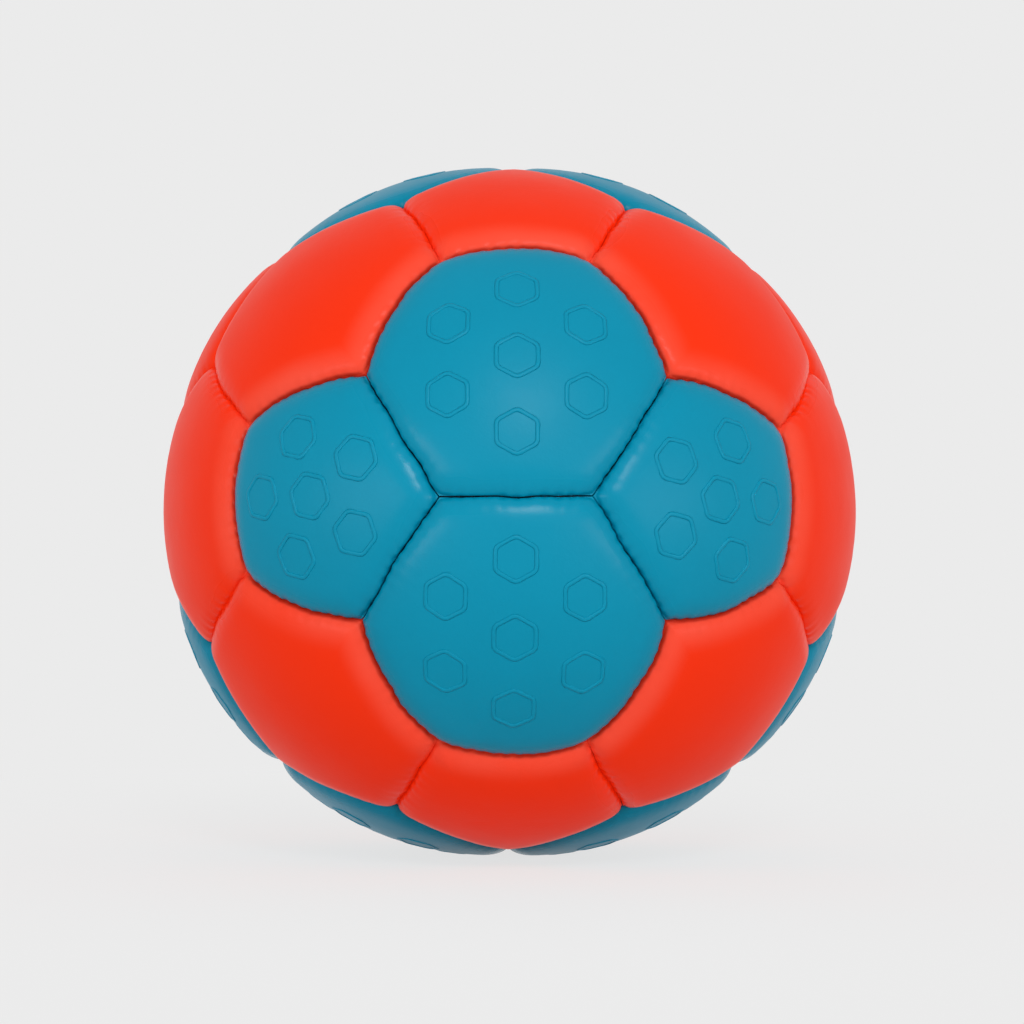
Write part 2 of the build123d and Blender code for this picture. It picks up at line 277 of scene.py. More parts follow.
def ring_directions(sides, bows, inset, steps, roundness):
    """Directions round a panel, a distance in from its seams, drawn towards a circle by the roundness."""
    circles = seam_circles(sides, bows, inset)
    corners = []
    for n in range(sides):
        first, second = circles[n - 1], circles[n]
        shared = first[0] @ second[0]
        a, b = math.cos(first[1]), math.cos(second[1])
        flat = ((a - shared * b) * first[0] + (b - shared * a) * second[0]) / (1 - shared**2)
        normal = np.cross(first[0], second[0])
        normal *= math.sqrt(1 - flat @ flat) / np.linalg.norm(normal)
        corners.append(flat + normal if normal[2] > 0 else flat - normal)
    points = []
    for n, (axis, angle, _, _) in enumerate(circles):
        centre = axis * math.cos(angle)
        start, finish = corners[n] - centre, corners[(n + 1) % sides] - centre
        aside = np.cross(axis, start)
        swing = np.linspace(0, math.atan2(finish @ aside, finish @ start), steps, endpoint=False)[:, None]
        points.append(centre + start * np.cos(swing) + aside * np.sin(swing))
    points = np.concatenate(points)
    outline = points[:, :2] / points[:, 2:]
    circle = outline / np.linalg.norm(outline, axis=1, keepdims=True)
    circle = circle * math.tan(EDGE_ANGLE[sides] - inset / RADIUS)
    outline = outline * (1 - roundness) + circle * roundness
    directions = np.column_stack([outline, np.ones(len(outline))])
    return directions / np.linalg.norm(directions, axis=1, keepdims=True)


print("points round a hexagon's edge:", len(ring_directions(6, (0,) * 6, TEAL_LIP_GAP, STEPS_PER_EDGE, 0)))

# %% What a point knows about its seams
FACT_NAMES = ("seam_gap", "next_seam_gap", "along_seam", "bowed_gap", "corner", "skin")
CORNER_REACH = 8.0
FAR_AWAY = 99.0


def seam_facts(sides, bows, directions):
    """Millimetres to two seams, along the nearest and to the nearest bowed one; nearness of a corner."""
    gaps, alongs, to_corners = [], [], []
    bowed = np.full(len(directions), FAR_AWAY)
    for axis, angle, inside, run in seam_circles(sides, bows, 0):
        gap = RADIUS * inside * (angle - np.arccos(np.clip(directions @ axis, -1, 1)))
        circle = RADIUS * math.sin(angle)
        along = circle * np.arctan2(directions @ run, directions @ np.cross(run, axis) * inside)
        half = circle * math.asin(math.sin(half_edge) / math.sin(angle))
        gaps.append(gap)
        alongs.append(along)
        to_corners.append(np.hypot(gap, np.maximum(half - np.abs(along), 0)))
        if angle < math.pi / 2:
            bowed = np.minimum(bowed, gap)
    gaps, alongs, to_corners = (np.stack(values, 1) for values in (gaps, alongs, to_corners))
    rows = np.arange(len(directions))
    order = np.argsort(gaps, axis=1)
    nearest, second = gaps[rows, order[:, 0]], gaps[rows, order[:, 1]]
    corner = np.exp(-((to_corners[rows, order[:, 0]] / CORNER_REACH) ** 2))
    return nearest, second, alongs[rows, order[:, 0]], bowed, corner


middle_gap = seam_facts(6, (0,) * 6, np.array([[0.0, 0.0, 1.0]]))[0][0]
print("from a hexagon's middle to its seams:", round(middle_gap, 1), "mm")

# %% The rings of one panel


def panel_rings(sides, bows, lip_gap, opening):
    """A panel's rings, first of its face from the edge in, then of its lining, with a level if it is set."""
    reach = RADIUS * EDGE_ANGLE[sides]
    face = []
    for inset in FINE_RINGS:
        face.append((ring_directions(sides, bows, lip_gap + inset, STEPS_PER_EDGE, 0), None))
    for inset in COARSE_RINGS:
        if inset < reach - MIDDLE_CLEARANCE:
            roundness = (inset / reach) ** 2
            face.append((ring_directions(sides, bows, inset, COARSE_STEPS, roundness), None))
    lining = [(ring_directions(sides, bows, lip_gap, STEPS_PER_EDGE, 0), LIP_END)]
    for inset, level in LINING_RINGS:
        lining.append((ring_directions(sides, bows, inset, COARSE_STEPS, 0), level))
    if opening:
        rim = reach - VALVE_OPENING
        for inset, level in ((rim - RIM_ROUNDING, None), (rim, RADIUS - RIM_DROP)):
            face.append((ring_directions(sides, bows, inset, COARSE_STEPS, 1), level))
        lining.append((ring_directions(sides, bows, rim, COARSE_STEPS, 1), RADIUS - COVER_THICKNESS))
    return face, lining


def join_rings(first, second, faces):
    """Faces between two closed rings of point numbers, the second as fine as the first or coarser."""
    step = len(first) // len(second)
    for n in range(len(second)):
        a, b = second[n], second[(n + 1) % len(second)]
        fine = [first[(n * step + k) % len(first)] for k in range(step + 1)]
        middle = step // 2
        for k in range(middle):
            faces.append((a, fine[k], fine[k + 1]))
        for k in range(middle + 1, step):
            faces.append((b, fine[k], fine[k + 1]))
        faces.append((a, fine[middle], fine[middle + 1], b))


print("rings of the panel with the valve:", sum(map(len, panel_rings(6, (0,) * 6, TEAL_LIP_GAP, True))))

# %% Make the blanks


def panel_blank(sides, bows, lip_gap, opening):
    """Points, faces and facts of one panel about Z: its face, down its lip, and back under the face."""
    face_rings, lining_rings = panel_rings(sides, bows, lip_gap, opening)
    points, facts, numbers = [], [], []
    count = 0
    for directions, level in face_rings + lining_rings:
        numbers.append(list(range(count, count + len(directions))))
        count += len(directions)
        on_face = level is None
        heights = dome_level(sides, directions[:, 2]) if on_face else np.full(len(directions), level)
        points.append(directions * heights[:, None])
        skin = np.full(len(directions), float(on_face))
        facts.append(np.stack([*seam_facts(sides, bows, directions), skin], 1))
    face, lining = numbers[: len(face_rings)], numbers[len(face_rings) :]
    outside, inside = [], []
    for first, second in zip(face, face[1:]):
        join_rings(first, second, outside)
    for first, second in zip([face[0], *lining], lining):
        join_rings(first, second, inside)
    if opening:
        join_rings(face[-1], lining[-1], outside)
    else:
        reach = RADIUS * EDGE_ANGLE[sides]
        crowns = ((face[-1], RADIUS, 1.0, outside), (lining[-1], LIP_END + LINING_RISE, 0.0, inside))
        for ring, crown, skin, faces in crowns:
            points.append(np.array([[0.0, 0.0, crown]]))
            facts.append(np.array([[reach, reach, 0.0, reach, 0.0, skin]]))
            faces.extend((count, ring[n], ring[(n + 1) % len(ring)]) for n in range(len(ring)))
            count += 1
    faces = outside + [corners[::-1] for corners in inside]
    return np.concatenate(points) / MILLIMETRES, faces, np.concatenate(facts)


def blank_of(name):
    """What tells one blank from another: sides, bows, the gap at its lips, and the valve's opening."""
    lip_gap = TEAL_LIP_GAP if name in TEAL_PANELS else RED_LIP_GAP
    return sides_of(name), frames[name][1], lip_gap, name == VALVE_PANEL


blanks = {}
for name in frames:
    key = blank_of(name)
    if key not in blanks:
        blanks[key] = panel_blank(*key)
        print("blank", key, "points", len(blanks[key][0]), "faces", len(blanks[key][1]))

# %% [markdown]
# ## Sewing and stuffing
# A stuffed panel could be simulated as cloth, but thirty-two sewn panels that must meet exactly are
# quicker and cleaner to shape by rule. Across a seam a padded cover falls like a quarter of an ellipse:
# flat on top, steep where the thread holds it. Where two seams meet the two falls add up, so corners are
# rounder and deeper. Each stitch draws the edge in, which scallops the seam and puckers the shoulder.
# Hand work is never even, so noise varies both and lets each seam wander a little. This is a rule with a
# few sizes, so Geometry Nodes hold it, with the sizes as inputs, in millimetres. Two inputs are plain
# numbers: how round the shoulder is, and the panel's number, which is its seed.

# %% Start the tree that sews a panel
# One of the sizes is how far in from a seam between colours the painted sheen and shade reach
SEWING_SIZES = {
    "Shoulder Width": 7.0, "Seam Depth": 2.5, "Corner Depth": 2.8, "Roundness": 6.0,
    "Stitch Pitch": 3.4, "Stitch Pull": 0.42, "Pull Reach": 1.5,
    "Pucker Height": 0.045, "Pucker Reach": 3.5, "Painted Edge": 9.0, "Unevenness": 0.22, "Panel Number": 0.0,
    "Seam Wander": 2.2, "Wander Reach": 5.0,
}
sewing = bpy.data.node_groups.new("sew_and_stuff_panel", "GeometryNodeTree")
sewing.interface.new_socket("Geometry", in_out="INPUT", socket_type="NodeSocketGeometry")
for name, value in SEWING_SIZES.items():
    socket = sewing.interface.new_socket(name, in_out="INPUT", socket_type="NodeSocketFloat")
    socket.default_value = value
sewing.interface.new_socket("Cover", in_out="INPUT", socket_type="NodeSocketMaterial")
sewing.interface.new_socket("Geometry", in_out="OUTPUT", socket_type="NodeSocketGeometry")

size = add(sewing, "NodeGroupInput").outputs
fact = {}
for name in FACT_NAMES:
    reader = add(sewing, "GeometryNodeInputNamedAttribute", {"Name": name}, data_type="FLOAT")
    fact[name] = reader.outputs["Attribute"]
place = add(sewing, "GeometryNodeInputPosition").outputs[0]
outward = add(sewing, "ShaderNodeVectorMath", {0: place}, operation="NORMALIZE").outputs[0]
print("sizes of the sewing:", len(SEWING_SIZES), "facts it reads:", len(fact))

# %% Sew the stitches
# Each stitch is a wave along the seam, stronger at some than at others: the hand changes every 6 mm or so.
# The noise that says how strong a stitch is seldom leaves the range between its low and its high
HAND_CHANGE = 5.9
NOISE_LOW = 0.3
NOISE_HIGH = 0.7
LOOSEST_STITCH = 0.25
TIGHTEST_STITCH = 1.5

turns = add(sewing, "ShaderNodeMath", {
    0: fact["along_seam"], 1: size["Stitch Pitch"],
}, operation="DIVIDE").outputs[0]
angle = add(sewing, "ShaderNodeMath", {0: turns, 1: 2 * math.pi}, operation="MULTIPLY").outputs[0]
cosine = add(sewing, "ShaderNodeMath", {0: angle}, operation="COSINE").outputs[0]
wave = add(sewing, "ShaderNodeMath", {0: cosine, 1: 0.5, 2: 0.5}, operation="MULTIPLY_ADD").outputs[0]
hand = add(sewing, "ShaderNodeTexNoise", {
    "Vector": place, "Scale": MILLIMETRES / HAND_CHANGE, "Detail": 1.0,
}).outputs[0]
uneven_hand = add(sewing, "ShaderNodeMapRange", {
    "Value": hand, "From Min": NOISE_LOW, "From Max": NOISE_HIGH,
    "To Min": LOOSEST_STITCH, "To Max": TIGHTEST_STITCH,
}).outputs[0]
stitch = add(sewing, "ShaderNodeMath", {0: wave, 1: uneven_hand}, operation="MULTIPLY").outputs[0]

# The pull of a stitch, its pucker and the wander of the seam all fade away from the seam
fades = {}
for name in ("Pull Reach", "Pucker Reach", "Wander Reach"):
    ratio = add(sewing, "ShaderNodeMath", {
        0: fact["seam_gap"], 1: size[name],
    }, operation="DIVIDE").outputs[0]
    minus = add(sewing, "ShaderNodeMath", {0: ratio, 1: -1.0}, operation="MULTIPLY").outputs[0]
    fades[name] = add(sewing, "ShaderNodeMath", {0: minus}, operation="EXPONENT").outputs[0]
pull = add(sewing, "ShaderNodeMath", {0: stitch, 1: size["Stitch Pull"]}, operation="MULTIPLY").outputs[0]
pull = add(sewing, "ShaderNodeMath", {0: pull, 1: fades["Pull Reach"]}, operation="MULTIPLY").outputs[0]
drawn_gap = add(sewing, "ShaderNodeMath", {0: fact["seam_gap"], 1: pull}, operation="SUBTRACT").outputs[0]
print("stitches along a seam:", int(2 * half_edge * RADIUS / SEWING_SIZES["Stitch Pitch"]))

# %% Round the shoulders
# How far down the shoulder a point is, from 0 on the face to 1 in the seam, for two seams together
falls = []
for gap in (drawn_gap, fact["next_seam_gap"]):
    share = add(sewing, "ShaderNodeMath", {0: gap, 1: size["Shoulder Width"]}, operation="DIVIDE").outputs[0]
    fall = add(sewing, "ShaderNodeMath", {0: 1.0, 1: share}, operation="SUBTRACT", use_clamp=True).outputs[0]
    steep = add(sewing, "ShaderNodeMath", {0: fall, 1: size["Roundness"]}, operation="POWER").outputs[0]
    falls.append(steep)
both = add(sewing, "ShaderNodeMath", {0: falls[0], 1: falls[1]}, operation="ADD").outputs[0]
inverse = add(sewing, "ShaderNodeMath", {0: 1.0, 1: size["Roundness"]}, operation="DIVIDE").outputs[0]
fall = add(sewing, "ShaderNodeMath", {0: both, 1: inverse}, operation="POWER", use_clamp=True).outputs[0]
square = add(sewing, "ShaderNodeMath", {0: fall, 1: fall}, operation="MULTIPLY").outputs[0]
rest = add(sewing, "ShaderNodeMath", {0: 1.0, 1: square}, operation="SUBTRACT", use_clamp=True).outputs[0]
root = add(sewing, "ShaderNodeMath", {0: rest}, operation="SQRT").outputs[0]
ellipse = add(sewing, "ShaderNodeMath", {0: 1.0, 1: root}, operation="SUBTRACT").outputs[0]
deepest = add(sewing, "ShaderNodeMix", {
    "Factor": fact["corner"], "A": size["Seam Depth"], "B": size["Corner Depth"],
}, data_type="FLOAT").outputs[0]
sunk = add(sewing, "ShaderNodeMath", {0: ellipse, 1: deepest}, operation="MULTIPLY").outputs[0]
print("sewing tree nodes so far:", len(sewing.nodes))

# %% Pucker the edges and swell the face
# Puckers lie beside the stitches, and the foam under the whole face is uneven in slow lumps, sized in mm
FOAM_LUMP = 22.2

pucker = add(sewing, "ShaderNodeMath", {
    0: stitch, 1: fades["Pucker Reach"],
}, operation="MULTIPLY").outputs[0]
sunk = add(sewing, "ShaderNodeMath", {
    0: pucker, 1: size["Pucker Height"], 2: sunk,
}, operation="MULTIPLY_ADD").outputs[0]
foam = add(sewing, "ShaderNodeTexNoise", {
    "Vector": place, "W": size["Panel Number"], "Scale": MILLIMETRES / FOAM_LUMP, "Detail": 2.0,
}, noise_dimensions="4D").outputs[0]
swell = add(sewing, "ShaderNodeMath", {0: foam, 1: 0.5}, operation="SUBTRACT").outputs[0]
swell = add(sewing, "ShaderNodeMath", {0: swell, 1: size["Unevenness"]}, operation="MULTIPLY").outputs[0]
flat_part = add(sewing, "ShaderNodeMath", {0: 1.0, 1: fall}, operation="SUBTRACT").outputs[0]
swell = add(sewing, "ShaderNodeMath", {0: swell, 1: flat_part}, operation="MULTIPLY").outputs[0]
sunk = add(sewing, "ShaderNodeMath", {0: sunk, 1: swell}, operation="SUBTRACT").outputs[0]
print("sewing tree nodes so far:", len(sewing.nodes))

# %% Let the seams wander
# No hand keeps a seam quite on its line: a smooth field, which changes over so many millimetres, shifts both
# of its lips together, along the ball
WANDER_LENGTH = 13.3

field = add(sewing, "ShaderNodeTexNoise", {
    "Vector": place, "Scale": MILLIMETRES / WANDER_LENGTH, "Detail": 1.0,
}).outputs["Color"]
field = add(sewing, "ShaderNodeVectorMath", {0: field, 1: (0.5, 0.5, 0.5)}, operation="SUBTRACT").outputs[0]
radial = add(sewing, "ShaderNodeVectorMath", {0: field, 1: outward}, operation="PROJECT").outputs[0]
field = add(sewing, "ShaderNodeVectorMath", {0: field, 1: radial}, operation="SUBTRACT").outputs[0]
shift = add(sewing, "ShaderNodeMath", {
    0: size["Seam Wander"], 1: fades["Wander Reach"],
}, operation="MULTIPLY").outputs[0]
shift = add(sewing, "ShaderNodeMath", {0: shift, 1: 1 / MILLIMETRES}, operation="MULTIPLY").outputs[0]
wander = add(sewing, "ShaderNodeVectorMath", {0: field, "Scale": shift}, operation="SCALE").outputs[0]
print("sewing tree nodes so far:", len(sewing.nodes))

# %% Leave notes for the material
# Each note is 1 at the seam and 0 on the rest of the face: where a painted sheen on the red and a painted
# shade on the teal lie along an edge between colours, where any edge is rolled and so polished, and where a
# painted shade lies down in a seam between colours. Distances from the seam are in millimetres
ROLL_TOP = 2.0
POLISH_END = 8.0
SEAM_SHADE_START = 0.25
SEAM_SHADE_END = 0.85

notes = {}
for name, gap, start, stop in (
    ("painted_sheen_and_shade", "bowed_gap", ROLL_TOP, size["Painted Edge"]),
    ("rolled", "seam_gap", ROLL_TOP, POLISH_END),
    ("painted_seam_shade", "bowed_gap", SEAM_SHADE_START, SEAM_SHADE_END),
):
    notes[name] = add(sewing, "ShaderNodeMapRange", {
        "Value": fact[gap], "From Min": start, "From Max": stop, "To Min": 1.0, "To Max": 0.0,
    }, interpolation_type="SMOOTHSTEP").outputs[0]
print("notes for the material:", list(notes))

# %% Finish the tree that sews a panel
# Millimetres become metres, and only the outer skin sinks, straight towards the middle of the ball
sunk = add(sewing, "ShaderNodeMath", {0: sunk, 1: fact["skin"]}, operation="MULTIPLY").outputs[0]
sunk = add(sewing, "ShaderNodeMath", {0: sunk, 1: -1 / MILLIMETRES}, operation="MULTIPLY").outputs[0]
offset = add(sewing, "ShaderNodeVectorMath", {0: outward, "Scale": sunk}, operation="SCALE").outputs[0]
offset = add(sewing, "ShaderNodeVectorMath", {0: offset, 1: wander}, operation="ADD").outputs[0]
sewn = add(sewing, "GeometryNodeSetPosition", {"Geometry": size["Geometry"], "Offset": offset}).outputs[0]
for name, value in notes.items():
    sewn = add(sewing, "GeometryNodeStoreNamedAttribute", {
        "Geometry": sewn, "Name": name, "Value": value,
    }, data_type="FLOAT", domain="POINT").outputs[0]
sewn = add(sewing, "GeometryNodeSetShadeSmooth", {"Geometry": sewn}).outputs[0]
sewn = add(sewing, "GeometryNodeRealizeInstances", {"Geometry": sewn}).outputs[0]
sewn = add(sewing, "GeometryNodeSetMaterial", {"Geometry": sewn, "Material": size["Cover"]}).outputs[0]
add(sewing, "NodeGroupOutput", {"Geometry": sewn})
print("sewing tree nodes:", len(sewing.nodes))

# %% [markdown]
# ## Embossing the teal sheet
# The teal sheet is pressed with a raised pattern before it is cut. Here that is a plain six-sided ring,
# once in the middle of a panel and again at even turns round it. One ring is drawn as a curve and swept
# with a round section, copies are set out on a circle, and rays towards the middle of the ball find how
# high each point of them must stand to ride on the stuffed cover.

# %% Start the tree that embosses a panel
EMBOSS_SIZES = {
    "Ring Width": 11.5, "Ridge Width": 1.2, "Ridge Height": 0.24, "Corner Rounding": 1.6, "Spread": 19.5,
}
embossing = bpy.data.node_groups.new("emboss_panel", "GeometryNodeTree")
embossing.interface.new_socket("Geometry", in_out="INPUT", socket_type="NodeSocketGeometry")
for name, value in EMBOSS_SIZES.items():
    socket = embossing.interface.new_socket(name, in_out="INPUT", socket_type="NodeSocketFloat")
    socket.default_value = value / MILLIMETRES
for name, value in (("Rings Around", 6), ("Rings In The Middle", 1)):
    socket = embossing.interface.new_socket(name, in_out="INPUT", socket_type="NodeSocketInt")
    socket.default_value = value
embossing.interface.new_socket("Panel Turn", in_out="INPUT", socket_type="NodeSocketRotation")
embossing.interface.new_socket("Cover", in_out="INPUT", socket_type="NodeSocketMaterial")
embossing.interface.new_socket("Geometry", in_out="OUTPUT", socket_type="NodeSocketGeometry")
size = add(embossing, "NodeGroupInput").outputs
print("sizes of the embossing:", EMBOSS_SIZES)

# %% Draw one ring
# A hexagon with rounded corners, swept with a small circle that is then pressed flat
RING_SIDES = 6
CORNER_STEPS = 2
SECTION_SIDES = 6

half_width = add(embossing, "ShaderNodeMath", {
    0: size["Ring Width"], 1: 0.5,
}, operation="MULTIPLY").outputs[0]
hexagon = add(embossing, "GeometryNodeCurvePrimitiveCircle", {
    "Resolution": RING_SIDES, "Radius": half_width,
}).outputs[0]
rounded = add(embossing, "GeometryNodeFilletCurve", {
    "Curve": hexagon, "Radius": size["Corner Rounding"], "Count": CORNER_STEPS, "Limit Radius": True,
}, mode="POLY").outputs[0]
half_ridge = add(embossing, "ShaderNodeMath", {
    0: size["Ridge Width"], 1: 0.5,
}, operation="MULTIPLY").outputs[0]
section = add(embossing, "GeometryNodeCurvePrimitiveCircle", {
    "Resolution": SECTION_SIDES, "Radius": half_ridge,
}).outputs[0]
ring = add(embossing, "GeometryNodeCurveToMesh", {"Curve": rounded, "Profile Curve": section}).outputs[0]
press = add(embossing, "ShaderNodeMath", {
    0: size["Ridge Height"], 1: half_ridge,
}, operation="DIVIDE").outputs[0]
flattened = add(embossing, "ShaderNodeCombineXYZ", {"X": 1.0, "Y": 1.0, "Z": press}).outputs[0]
ring = add(embossing, "GeometryNodeTransform", {"Geometry": ring, "Scale": flattened}).outputs[0]
print("faces of one ring:", RING_SIDES * (CORNER_STEPS + 1) * SECTION_SIDES)

# %% Set the rings out
# Their places on the flat are a circle of them and one in the middle
circle = add(embossing, "GeometryNodeMeshCircle", {
    "Vertices": size["Rings Around"], "Radius": size["Spread"],
}).outputs[0]
centre = add(embossing, "GeometryNodePoints", {"Count": size["Rings In The Middle"]}).outputs[0]
places = add(embossing, "GeometryNodeJoinGeometry")
embossing.links.new(circle, places.inputs[0])
embossing.links.new(centre, places.inputs[0])
rings = add(embossing, "GeometryNodeInstanceOnPoints", {
    "Points": places.outputs[0], "Instance": ring,
}).outputs[0]
rings = add(embossing, "GeometryNodeRealizeInstances", {"Geometry": rings}).outputs[0]
print("embossing tree nodes so far:", len(embossing.nodes))

# %% Lay the rings on the cover
# Each point remembers its height, goes out past the ball in its direction, and drops back on the cover
RAY_START = 1.1 * BALL_RADIUS
RAY_LENGTH = 0.05

place = add(embossing, "GeometryNodeInputPosition").outputs[0]
parts = add(embossing, "ShaderNodeSeparateXYZ", {0: place}).outputs
rings = add(embossing, "GeometryNodeStoreNamedAttribute", {
    "Geometry": rings, "Name": "lift", "Value": parts["Z"],
}, data_type="FLOAT", domain="POINT").outputs[0]
over = add(embossing, "ShaderNodeCombineXYZ", {
    "X": parts["X"], "Y": parts["Y"], "Z": BALL_RADIUS,
}).outputs[0]
rings = add(embossing, "GeometryNodeSetPosition", {"Geometry": rings, "Position": over}).outputs[0]
rings = add(embossing, "GeometryNodeTransform", {
    "Geometry": rings, "Rotation": size["Panel Turn"],
}).outputs[0]
outward = add(embossing, "ShaderNodeVectorMath", {0: place}, operation="NORMALIZE").outputs[0]
start = add(embossing, "ShaderNodeVectorMath", {
    0: outward, "Scale": RAY_START,
}, operation="SCALE").outputs[0]
inward = add(embossing, "ShaderNodeVectorMath", {0: outward, "Scale": -1.0}, operation="SCALE").outputs[0]
hit = add(embossing, "GeometryNodeRaycast", {
    "Target Geometry": size["Geometry"], "Source Position": start,
    "Ray Direction": inward, "Ray Length": RAY_LENGTH,
}).outputs["Hit Position"]
kept = add(embossing, "GeometryNodeInputNamedAttribute", {"Name": "lift"}, data_type="FLOAT")
lift = kept.outputs["Attribute"]
rise = add(embossing, "ShaderNodeVectorMath", {0: outward, "Scale": lift}, operation="SCALE").outputs[0]
landed = add(embossing, "ShaderNodeVectorMath", {0: hit, 1: rise}, operation="ADD").outputs[0]
rings = add(embossing, "GeometryNodeSetPosition", {"Geometry": rings, "Position": landed}).outputs[0]
rings = add(embossing, "GeometryNodeSetShadeSmooth", {"Geometry": rings}).outputs[0]

sheet = add(embossing, "GeometryNodeJoinGeometry")
embossing.links.new(rings, sheet.inputs[0])
embossing.links.new(size["Geometry"], sheet.inputs[0])
pressed = add(embossing, "GeometryNodeRealizeInstances", {"Geometry": sheet.outputs[0]}).outputs[0]
pressed = add(embossing, "GeometryNodeSetMaterial", {
    "Geometry": pressed, "Material": size["Cover"],
}).outputs[0]
add(embossing, "NodeGroupOutput", {"Geometry": pressed})
print("embossing tree nodes:", len(embossing.nodes))

# %% [markdown]
# ## The covers' material
# Ball covers are polyurethane on a microfibre base, coloured through and rolled to a soft satin. The
# coating is a smooth dielectric: a broad soft shine, a very fine grain that only breaks the shine up, and
# slight changes of colour from dye and handling. Where it rolls into a seam it is polished. Along an edge
# between two colours the red gets a painted sheen and the teal a painted shade, and down in that seam a
# painted shade darkens both. The red, which has a fluorescent dye, is given an even painted light of its
# own, so that it stays bright in shade. The pores are about 0.3 mm apart on the real sheet, which is one
# pixel here, so they are drawn at 0.9 mm to show at all.

# %% Make the two covers
# Spacings and relief are in millimetres
DYE_CLOUD = 36.0
CREASE_SPACING = 3.8
PORE_SPACING = 0.9
PORE_SHARE = 0.35
GRAIN_STRENGTH = 0.2
GRAIN_RELIEF = 0.3
PAINTED_EDGE_SHARE = 0.5
SEAM_SHADE_SHARE = 0.8
EDGE_POLISH = 0.13
SHINIER = 0.04
DULLER = 0.05
POLYURETHANE_IOR = 1.5


def polyurethane_cover(name, body, shade, painted_sheen_and_shade, seam_shade, roughness, specular, painted_glow):
    """Satin polyurethane: uneven colour, painted sheen and shade at its edges, pores, a slow change of
    shine, painted light.
    """
    made = bpy.data.materials.new(name)
    made.use_nodes = True
    tree = made.node_tree
    tree.nodes.clear()
    where = add(tree, "ShaderNodeTexCoord").outputs["Object"]
    cloud = add(tree, "ShaderNodeTexNoise", {
        "Vector": where, "Scale": MILLIMETRES / DYE_CLOUD, "Detail": 3.0, "Roughness": 0.55,
    }).outputs[0]
    dye_and_painted_edges = add(tree, "ShaderNodeMix", {
        "Factor": cloud, "A": colour(body), "B": colour(shade),
    }, data_type="RGBA").outputs[2]
    # Painted sheen on the red and painted shade on the teal, along each edge between the two colours
    pale = add(tree, "ShaderNodeAttribute", attribute_name="painted_sheen_and_shade").outputs["Fac"]
    pale = add(tree, "ShaderNodeMath", {0: pale, 1: cloud}, operation="MULTIPLY").outputs[0]
    pale = add(tree, "ShaderNodeMath", {0: pale, 1: PAINTED_EDGE_SHARE}, operation="MULTIPLY").outputs[0]
    dye_and_painted_edges = add(tree, "ShaderNodeMix", {
        "Factor": pale, "A": dye_and_painted_edges, "B": colour(painted_sheen_and_shade),
    }, data_type="RGBA").outputs[2]
    # Painted shade down in each seam between the two colours
    lip = add(tree, "ShaderNodeAttribute", attribute_name="painted_seam_shade").outputs["Fac"]
    lip = add(tree, "ShaderNodeMath", {0: lip, 1: SEAM_SHADE_SHARE}, operation="MULTIPLY").outputs[0]
    dye_and_painted_edges = add(tree, "ShaderNodeMix", {
        "Factor": lip, "A": dye_and_painted_edges, "B": colour(seam_shade),
    }, data_type="RGBA").outputs[2]

    pores = add(tree, "ShaderNodeTexVoronoi", {
        "Vector": where, "Scale": MILLIMETRES / PORE_SPACING,
    }, feature="DISTANCE_TO_EDGE").outputs[0]
    creases = add(tree, "ShaderNodeTexNoise", {
        "Vector": where, "Scale": MILLIMETRES / CREASE_SPACING, "Detail": 4.0, "Roughness": 0.6,
    }).outputs[0]
    grain = add(tree, "ShaderNodeMath", {
        0: pores, 1: PORE_SHARE, 2: creases,
    }, operation="MULTIPLY_ADD").outputs[0]
    bump = add(tree, "ShaderNodeBump", {
        "Height": grain, "Strength": GRAIN_STRENGTH, "Distance": GRAIN_RELIEF / MILLIMETRES,
    }).outputs[0]
    shine = add(tree, "ShaderNodeMapRange", {
        "Value": cloud, "From Min": NOISE_LOW, "From Max": NOISE_HIGH,
        "To Min": roughness - SHINIER, "To Max": roughness + DULLER,
    }).outputs[0]
    rolled = add(tree, "ShaderNodeAttribute", attribute_name="rolled").outputs["Fac"]
    shine = add(tree, "ShaderNodeMath", {
        0: rolled, 1: -EDGE_POLISH, 2: shine,
    }, operation="MULTIPLY_ADD").outputs[0]
    # For the red the emission is painted light: an even light of its own that lifts its shaded side, in
    # place of what its fluorescent dye does
    surface = add(tree, "ShaderNodeBsdfPrincipled", {
        "Base Color": dye_and_painted_edges, "Roughness": shine, "Normal": bump,
        "IOR": POLYURETHANE_IOR, "Specular IOR Level": specular,
        "Emission Color": colour(body), "Emission Strength": painted_glow,
    })
    add(tree, "ShaderNodeOutputMaterial", {"Surface": surface.outputs[0]})
    return made


# The edge colours are painted: shade on the teal and sheen on the red, and a darker painted shade in the
# seam
teal_cover = polyurethane_cover(
    "teal_satin_polyurethane",
    body="#028cab", shade="#0184a2", painted_sheen_and_shade="#04809d", seam_shade="#1f5a75",
    roughness=0.38, specular=0.11, painted_glow=0.0,
)
red_cover = polyurethane_cover(
    "red_fluorescent_polyurethane",
    body="#e62f0b", shade="#e22c0a", painted_sheen_and_shade="#dc7261", seam_shade="#8a140c",
    roughness=0.40, specular=0.06, painted_glow=0.18,
)
print("covers:", teal_cover.name, red_cover.name)

# %% [markdown]
# ## Thirty-two panels
# Each blank is turned to its place before it is sewn, so that the noise in the tree falls differently on
# every panel while both sides of a seam still see the same stitch. The result is kept as a plain mesh,
# with the notes for its material but without the facts that only the sewing needed.

# %% Run a mesh through a tree


def input_keys(tree):
    """The identifier of each of a tree's inputs, by its name."""
    return {item.name: item.identifier for item in tree.interface.items_tree if item.in_out == "INPUT"}


